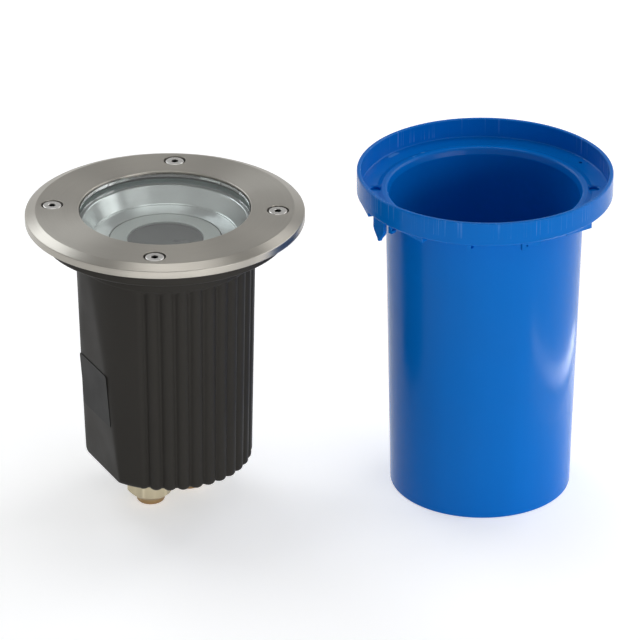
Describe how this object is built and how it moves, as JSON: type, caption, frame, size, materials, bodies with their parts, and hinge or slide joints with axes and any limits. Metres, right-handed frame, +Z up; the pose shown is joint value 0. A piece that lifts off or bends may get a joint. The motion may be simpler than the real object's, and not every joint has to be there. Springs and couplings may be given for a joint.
{
  "type": "in-ground well light",
  "caption": "Round in-ground up-light with a bevelled steel trim ring, thick glass and reeded black housing, standing beside its open plastic installation sleeve.",
  "frame": {"origin": "on the ground, at the centre of the footprint of the light and the sleeve as they stand side by side", "axes": "+Z up, along the light's and the sleeve's axes; +X from the light towards the sleeve, the longest way; -Y towards the viewer"},
  "size_m": [0.263, 0.1354, 0.1555],
  "materials": {
    "ring_steel": "turned brushed stainless",
    "screw_steel": "bright stainless",
    "lens_glass": "clear toughened, faint green edge",
    "gasket_silicone": "grey silicone",
    "housing_black": "die-cast, black powder coat",
    "label_black": "bare glossy foil",
    "reflector_aluminium": "spun, satin bright",
    "lamp_silver": "satin",
    "lamp_diffuser": "grey lens",
    "lamp_base_white": "matte",
    "pin_metal": "nickel plated",
    "holder_ceramic": "unglazed",
    "zinc_steel": "zinc plated",
    "terminal_white": "matte",
    "terminal_brass": "plain",
    "lead_white": "glass-fibre sleeving over silicone",
    "lead_green": "matte",
    "gland_brass": "pale nickel-washed brass",
    "gland_rubber": "matte",
    "sleeve_blue": "moulded, semi-gloss"
  },
  "bodies": {
    "installation_sleeve": {"sleeve": "sleeve_blue"},
    "light": {"housing": "housing_black", "rating_label": "label_black", "reflector": "reflector_aluminium", "lampholder": "holder_ceramic", "holder_screws": "zinc_steel", "holder_bracket": "zinc_steel", "bracket_screws": "zinc_steel", "terminal_block": "terminal_white", "terminal_barrels": "terminal_brass", "terminal_screws": "zinc_steel", "block_screw": "zinc_steel", "lamp_leads": "lead_white", "earth_lead": "lead_green", "earth_lug": "pin_metal", "earth_screw": "terminal_brass", "gland_bodies": "gland_brass", "gland_seals": "gland_rubber", "gland_washers": "gland_rubber", "gland_locknuts": "gland_brass"},
    "cover": {"trim_ring": "ring_steel", "trim_screws": "screw_steel", "glass_lens": "lens_glass", "lens_gasket": "gasket_silicone"},
    "lamp": {"lamp_shell": "lamp_silver", "lamp_lens": "lamp_diffuser", "lamp_base": "lamp_base_white", "lamp_pins": "pin_metal"},
    "front_gland_cap": {"gland_nut_front": "gland_brass"},
    "rear_gland_cap": {"gland_nut_rear": "gland_brass"}
  },
  "joints": [
    {"name": "light_lift", "type": "slide", "parent": "installation_sleeve", "child": "light", "axis": [0, 0, 1], "range_m": [0, 0.18]},
    {"name": "cover_lift", "type": "slide", "parent": "light", "child": "cover", "axis": [0, 0, 1], "range_m": [0, 0.06]},
    {"name": "lamp_twist", "type": "hinge", "parent": "light", "child": "lamp", "pos_m": [-0.069, -0.00525, 0.0739], "axis": [0, 0, 1], "range_deg": [0, 30]},
    {"name": "front_gland_turn", "type": "hinge", "parent": "light", "child": "front_gland_cap", "pos_m": [-0.0774, -0.01266, 0.0043], "axis": [0, 0, 1], "continuous": true},
    {"name": "rear_gland_turn", "type": "hinge", "parent": "light", "child": "rear_gland_cap", "pos_m": [-0.0606, 0.00216, 0.0043], "axis": [0, 0, 1], "continuous": true}
  ]
}
